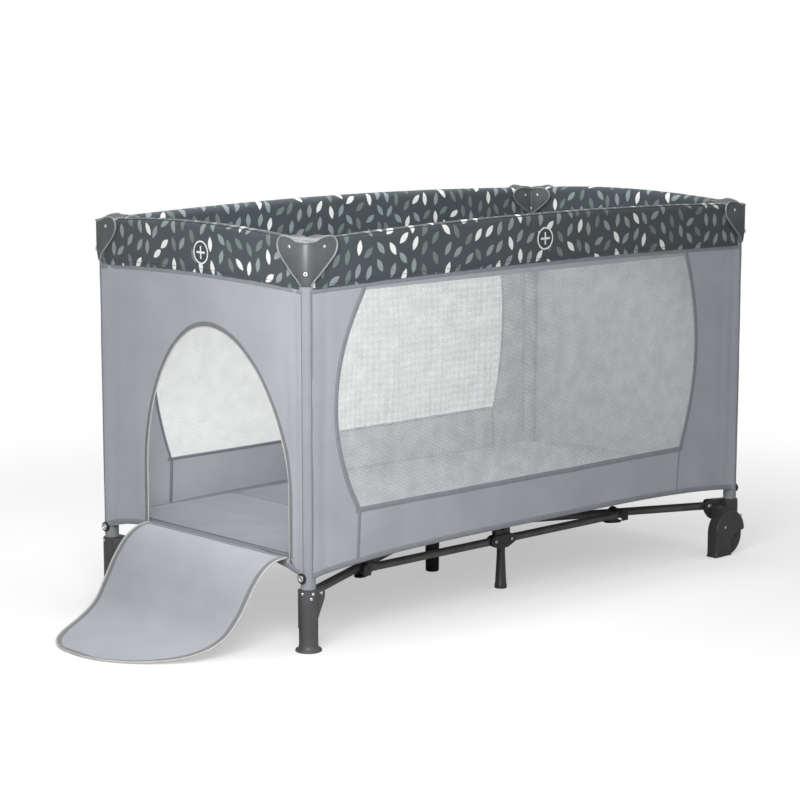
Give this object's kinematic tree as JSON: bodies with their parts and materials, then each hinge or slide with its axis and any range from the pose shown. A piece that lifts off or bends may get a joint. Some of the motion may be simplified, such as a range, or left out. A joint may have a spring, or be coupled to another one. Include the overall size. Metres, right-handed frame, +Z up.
{
  "type": "folding travel cot",
  "caption": "Folding travel cot with cloth and mesh walls, floor mattress, an arched door whose flap makes a ramp, wheels at the far end, and rails and base that fold to an upright bundle.",
  "frame": {"origin": "on the floor, at the middle of the flat bottom of the base hub's leg, halfway between the four corner legs", "axes": "+X along the long side towards the wheeled end, -X towards the door and its flap, +Y across the cot, +Z up"},
  "size_m": [1.559, 0.6744, 0.771],
  "materials": {
    "tube": "satin grey powder coat",
    "foot_plastic": "satin grey moulding",
    "cap_plastic": "satin warm grey moulding",
    "black_plastic": "satin black moulding",
    "wheel_plastic": "hard grey tread",
    "grey_fabric": "plain weave",
    "printed_fabric": "plain weave with scattered printed leaves",
    "mesh_fabric": "open net",
    "mattress_fabric": "plain weave over foam"
  },
  "bodies": {
    "leg_front_left": {"leg_front_left": "tube", "foot_front_left": "foot_plastic", "cap_front_left": "cap_plastic", "wall_front": "grey_fabric", "mesh_front": "mesh_fabric", "band_front": "printed_fabric"},
    "leg_front_right": {"leg_front_right": "tube", "foot_front_right": "foot_plastic", "cap_front_right": "cap_plastic"},
    "leg_back_left": {"leg_back_left": "tube", "foot_back_left": "foot_plastic", "cap_back_left": "cap_plastic", "wall_back": "grey_fabric", "mesh_back": "mesh_fabric", "band_back": "printed_fabric", "wall_door": "grey_fabric", "band_door": "printed_fabric"},
    "leg_back_right": {"leg_back_right": "tube", "foot_back_right": "foot_plastic", "cap_back_right": "cap_plastic", "wall_wheel": "grey_fabric", "band_wheel": "printed_fabric"},
    "long_rail_front_left": {"long_rail_front_left": "tube"},
    "short_rail_front_left": {"short_rail_front_left": "tube"},
    "diagonal_front_left": {"diagonal_front_left": "tube"},
    "collar_front_left": {"collar_front_left": "foot_plastic"},
    "side_bar_front_left": {"side_bar_front_left": "tube"},
    "long_rail_front_right": {"long_rail_front_right": "tube"},
    "short_rail_front_right": {"short_rail_front_right": "tube"},
    "diagonal_front_right": {"diagonal_front_right": "tube"},
    "collar_front_right": {"collar_front_right": "foot_plastic"},
    "side_bar_front_right": {"side_bar_front_right": "tube"},
    "long_rail_back_left": {"long_rail_back_left": "tube"},
    "short_rail_back_left": {"short_rail_back_left": "tube"},
    "diagonal_back_left": {"diagonal_back_left": "tube"},
    "collar_back_left": {"collar_back_left": "foot_plastic"},
    "side_bar_back_left": {"side_bar_back_left": "tube"},
    "long_rail_back_right": {"long_rail_back_right": "tube"},
    "short_rail_back_right": {"short_rail_back_right": "tube"},
    "diagonal_back_right": {"diagonal_back_right": "tube"},
    "collar_back_right": {"collar_back_right": "foot_plastic"},
    "side_bar_back_right": {"side_bar_back_right": "tube"},
    "hub": {"hub": "black_plastic"},
    "side_joint_front": {"side_joint_front": "foot_plastic"},
    "side_joint_back": {"side_joint_back": "foot_plastic"},
    "wheel_front": {"wheel_front": "wheel_plastic"},
    "wheel_back": {"wheel_back": "wheel_plastic"},
    "floor_sheet": {"floor_sheet": "grey_fabric"},
    "mattress": {"mattress": "mattress_fabric"},
    "flap_top": {"flap_top": "grey_fabric"},
    "flap_middle": {"flap_middle": "grey_fabric"},
    "flap_end": {"flap_end": "grey_fabric"},
    "rail_lock_front": {"rail_lock_front": "black_plastic"},
    "lock_button_front": {"lock_button_front": "black_plastic"},
    "rail_lock_back": {"rail_lock_back": "black_plastic"},
    "lock_button_back": {"lock_button_back": "black_plastic"},
    "rail_lock_door": {"rail_lock_door": "black_plastic"},
    "lock_button_door": {"lock_button_door": "black_plastic"},
    "rail_lock_wheel": {"rail_lock_wheel": "black_plastic"},
    "lock_button_wheel": {"lock_button_wheel": "black_plastic"}
  },
  "joints": [
    {"name": "fold", "type": "hinge", "parent": "leg_back_left", "child": "diagonal_back_left", "pos_m": [-0.5675, 0.2725, 0.1], "axis": [-0.41, -0.9121, 0], "range_deg": [0, 85], "deforming": ["wall_front", "wall_back", "wall_door", "wall_wheel", "mesh_front", "mesh_back", "band_front", "band_back", "band_door", "band_wheel", "floor_sheet", "mattress", "flap_top", "flap_middle", "flap_end"]},
    {"name": "hub_tilt", "type": "hinge", "parent": "diagonal_back_left", "child": "hub", "pos_m": [-0.0225, 0.0275, 0.1], "axis": [0.41, 0.9121, 0], "range_deg": [0, 85]},
    {"name": "diagonal_front_left_turn", "type": "hinge", "parent": "hub", "child": "diagonal_front_left", "pos_m": [-0.0225, -0.0275, 0.1], "axis": [0.41, -0.9121, 0], "range_deg": [0, 85]},
    {"name": "leg_front_left_turn", "type": "hinge", "parent": "diagonal_front_left", "child": "leg_front_left", "pos_m": [-0.5675, -0.2725, 0.1], "axis": [-0.41, 0.9121, 0], "range_deg": [0, 85]},
    {"name": "diagonal_front_right_turn", "type": "hinge", "parent": "hub", "child": "diagonal_front_right", "pos_m": [0.0225, -0.0275, 0.1], "axis": [0.41, 0.9121, 0], "range_deg": [0, 85]},
    {"name": "leg_front_right_turn", "type": "hinge", "parent": "diagonal_front_right", "child": "leg_front_right", "pos_m": [0.5675, -0.2725, 0.1], "axis": [-0.41, -0.9121, 0], "range_deg": [0, 85]},
    {"name": "diagonal_back_right_turn", "type": "hinge", "parent": "hub", "child": "diagonal_back_right", "pos_m": [0.0225, 0.0275, 0.1], "axis": [-0.41, 0.9121, 0], "range_deg": [0, 85]},
    {"name": "leg_back_right_turn", "type": "hinge", "parent": "diagonal_back_right", "child": "leg_back_right", "pos_m": [0.5675, 0.2725, 0.1], "axis": [0.41, -0.9121, 0], "range_deg": [0, 85]},
    {"name": "long_rail_front_left_turn", "type": "hinge", "parent": "leg_front_left", "child": "long_rail_front_left", "pos_m": [-0.5725, -0.3025, 0.745], "axis": [0, 1, 0], "range_deg": [0, 85]},
    {"name": "short_rail_front_left_turn", "type": "hinge", "parent": "leg_front_left", "child": "short_rail_front_left", "pos_m": [-0.6025, -0.2725, 0.745], "axis": [-1, 0, 0], "range_deg": [0, 85]},
    {"name": "long_rail_front_right_turn", "type": "hinge", "parent": "leg_front_right", "child": "long_rail_front_right", "pos_m": [0.5725, -0.3025, 0.745], "axis": [0, -1, 0], "range_deg": [0, 85]},
    {"name": "short_rail_front_right_turn", "type": "hinge", "parent": "leg_front_right", "child": "short_rail_front_right", "pos_m": [0.6025, -0.2725, 0.745], "axis": [-1, 0, 0], "range_deg": [0, 85]},
    {"name": "long_rail_back_left_turn", "type": "hinge", "parent": "leg_back_left", "child": "long_rail_back_left", "pos_m": [-0.5725, 0.3025, 0.745], "axis": [0, 1, 0], "range_deg": [0, 85]},
    {"name": "short_rail_back_left_turn", "type": "hinge", "parent": "leg_back_left", "child": "short_rail_back_left", "pos_m": [-0.6025, 0.2725, 0.745], "axis": [1, 0, 0], "range_deg": [0, 85]},
    {"name": "long_rail_back_right_turn", "type": "hinge", "parent": "leg_back_right", "child": "long_rail_back_right", "pos_m": [0.5725, 0.3025, 0.745], "axis": [0, -1, 0], "range_deg": [0, 85]},
    {"name": "short_rail_back_right_turn", "type": "hinge", "parent": "leg_back_right", "child": "short_rail_back_right", "pos_m": [0.6025, 0.2725, 0.745], "axis": [1, 0, 0], "range_deg": [0, 85]},
    {"name": "rail_lock_front_turn", "type": "hinge", "parent": "long_rail_front_left", "child": "rail_lock_front", "pos_m": [-0.0275, -0.3025, 0.745], "axis": [0, -1, 0], "range_deg": [0, 85]},
    {"name": "rail_lock_back_turn", "type": "hinge", "parent": "long_rail_back_left", "child": "rail_lock_back", "pos_m": [-0.0275, 0.3025, 0.745], "axis": [0, -1, 0], "range_deg": [0, 85]},
    {"name": "rail_lock_door_turn", "type": "hinge", "parent": "short_rail_front_left", "child": "rail_lock_door", "pos_m": [-0.6025, -0.0275, 0.745], "axis": [1, 0, 0], "range_deg": [0, 85]},
    {"name": "rail_lock_wheel_turn", "type": "hinge", "parent": "short_rail_front_right", "child": "rail_lock_wheel", "pos_m": [0.6025, -0.0275, 0.745], "axis": [1, 0, 0], "range_deg": [0, 85]},
    {"name": "collar_front_left_turn", "type": "hinge", "parent": "diagonal_front_left", "child": "collar_front_left", "pos_m": [-0.36585, -0.18185, 0.1], "axis": [-0.41, 0.9121, 0], "range_deg": [0, 85]},
    {"name": "side_bar_front_left_turn", "type": "hinge", "parent": "collar_front_left", "child": "side_bar_front_left", "pos_m": [-0.36585, -0.20185, 0.1], "axis": [0, -1, 0], "range_deg": [0, 85]},
    {"name": "collar_front_right_turn", "type": "hinge", "parent": "diagonal_front_right", "child": "collar_front_right", "pos_m": [0.36585, -0.18185, 0.1], "axis": [-0.41, -0.9121, 0], "range_deg": [0, 85]},
    {"name": "side_bar_front_right_turn", "type": "hinge", "parent": "collar_front_right", "child": "side_bar_front_right", "pos_m": [0.36585, -0.20185, 0.1], "axis": [0, 1, 0], "range_deg": [0, 85]},
    {"name": "collar_back_left_turn", "type": "hinge", "parent": "diagonal_back_left", "child": "collar_back_left", "pos_m": [-0.36585, 0.18185, 0.1], "axis": [0.41, 0.9121, 0], "range_deg": [0, 85]},
    {"name": "side_bar_back_left_turn", "type": "hinge", "parent": "collar_back_left", "child": "side_bar_back_left", "pos_m": [-0.36585, 0.20185, 0.1], "axis": [0, -1, 0], "range_deg": [0, 85]},
    {"name": "collar_back_right_turn", "type": "hinge", "parent": "diagonal_back_right", "child": "collar_back_right", "pos_m": [0.36585, 0.18185, 0.1], "axis": [0.41, -0.9121, 0], "range_deg": [0, 85]},
    {"name": "side_bar_back_right_turn", "type": "hinge", "parent": "collar_back_right", "child": "side_bar_back_right", "pos_m": [0.36585, 0.20185, 0.1], "axis": [0, 1, 0], "range_deg": [0, 85]},
    {"name": "side_joint_front_turn", "type": "hinge", "parent": "side_bar_front_left", "child": "side_joint_front", "pos_m": [-0.0225, -0.20185, 0.1], "axis": [0, 1, 0], "range_deg": [0, 85]},
    {"name": "side_joint_back_turn", "type": "hinge", "parent": "side_bar_back_left", "child": "side_joint_back", "pos_m": [-0.0225, 0.20185, 0.1], "axis": [0, 1, 0], "range_deg": [0, 85]},
    {"name": "floor_rise", "type": "slide", "parent": "hub", "child": "floor_sheet", "axis": [0, 0, 1], "range_m": [0, 0.09]},
    {"name": "mattress_lift", "type": "slide", "parent": "floor_sheet", "child": "mattress", "axis": [0, 0, 1], "range_m": [0, 0.75]},
    {"name": "door_flap", "type": "hinge", "parent": "leg_back_left", "child": "flap_top", "pos_m": [-0.6175, -0.0505, 0.1705], "axis": [0, 1, 0], "range_deg": [0, 127.8]},
    {"name": "flap_middle_bend", "type": "hinge", "parent": "flap_top", "child": "flap_middle", "pos_m": [-0.71325, -0.0505, 0.09603], "axis": [0, 1, 0], "range_deg": [0, 6.82]},
    {"name": "flap_end_bend", "type": "hinge", "parent": "flap_middle", "child": "flap_end", "pos_m": [-0.79116, -0.0505, 0.0191], "axis": [0, 1, 0], "range_deg": [-38.27, 0]},
    {"name": "wheel_front_spin", "type": "hinge", "parent": "leg_front_right", "child": "wheel_front", "pos_m": [0.5685, -0.3225, 0.0425], "axis": [0, 1, 0], "continuous": true},
    {"name": "wheel_back_spin", "type": "hinge", "parent": "leg_back_right", "child": "wheel_back", "pos_m": [0.5685, 0.3225, 0.0425], "axis": [0, 1, 0], "continuous": true},
    {"name": "lock_button_front_press", "type": "slide", "parent": "rail_lock_front", "child": "lock_button_front", "axis": [0, 1, 0], "range_m": [0, 0.003], "stiffness_N_per_m": 600},
    {"name": "lock_button_back_press", "type": "slide", "parent": "rail_lock_back", "child": "lock_button_back", "axis": [0, -1, 0], "range_m": [0, 0.003], "stiffness_N_per_m": 600},
    {"name": "lock_button_door_press", "type": "slide", "parent": "rail_lock_door", "child": "lock_button_door", "axis": [1, 0, 0], "range_m": [0, 0.003], "stiffness_N_per_m": 600},
    {"name": "lock_button_wheel_press", "type": "slide", "parent": "rail_lock_wheel", "child": "lock_button_wheel", "axis": [-1, 0, 0], "range_m": [0, 0.003], "stiffness_N_per_m": 600}
  ],
  "couplings": [
    {"joint": "hub_tilt", "follows": "fold", "ratio": 1},
    {"joint": "diagonal_front_left_turn", "follows": "fold", "ratio": 1},
    {"joint": "leg_front_left_turn", "follows": "fold", "ratio": 1},
    {"joint": "diagonal_front_right_turn", "follows": "fold", "ratio": 1},
    {"joint": "leg_front_right_turn", "follows": "fold", "ratio": 1},
    {"joint": "diagonal_back_right_turn", "follows": "fold", "ratio": 1},
    {"joint": "leg_back_right_turn", "follows": "fold", "ratio": 1},
    {"joint": "long_rail_front_left_turn", "follows": "fold", "ratio": 1},
    {"joint": "short_rail_front_left_turn", "follows": "fold", "ratio": 1},
    {"joint": "long_rail_front_right_turn", "follows": "fold", "ratio": 1},
    {"joint": "short_rail_front_right_turn", "follows": "fold", "ratio": 1},
    {"joint": "long_rail_back_left_turn", "follows": "fold", "ratio": 1},
    {"joint": "short_rail_back_left_turn", "follows": "fold", "ratio": 1},
    {"joint": "long_rail_back_right_turn", "follows": "fold", "ratio": 1},
    {"joint": "short_rail_back_right_turn", "follows": "fold", "ratio": 1},
    {"joint": "rail_lock_front_turn", "follows": "fold", "ratio": 1},
    {"joint": "rail_lock_back_turn", "follows": "fold", "ratio": 1},
    {"joint": "rail_lock_door_turn", "follows": "fold", "ratio": 1},
    {"joint": "rail_lock_wheel_turn", "follows": "fold", "ratio": 1},
    {"joint": "collar_front_left_turn", "follows": "fold", "ratio": 1},
    {"joint": "side_bar_front_left_turn", "follows": "fold", "ratio": 1},
    {"joint": "collar_front_right_turn", "follows": "fold", "ratio": 1},
    {"joint": "side_bar_front_right_turn", "follows": "fold", "ratio": 1},
    {"joint": "collar_back_left_turn", "follows": "fold", "ratio": 1},
    {"joint": "side_bar_back_left_turn", "follows": "fold", "ratio": 1},
    {"joint": "collar_back_right_turn", "follows": "fold", "ratio": 1},
    {"joint": "side_bar_back_right_turn", "follows": "fold", "ratio": 1},
    {"joint": "side_joint_front_turn", "follows": "fold", "ratio": 1},
    {"joint": "side_joint_back_turn", "follows": "fold", "ratio": 1},
    {"joint": "floor_rise", "follows": "fold", "m_per_rad": 0.06},
    {"joint": "flap_middle_bend", "follows": "door_flap", "ratio": 0.052876},
    {"joint": "flap_end_bend", "follows": "door_flap", "ratio": -0.29861}
  ]
}
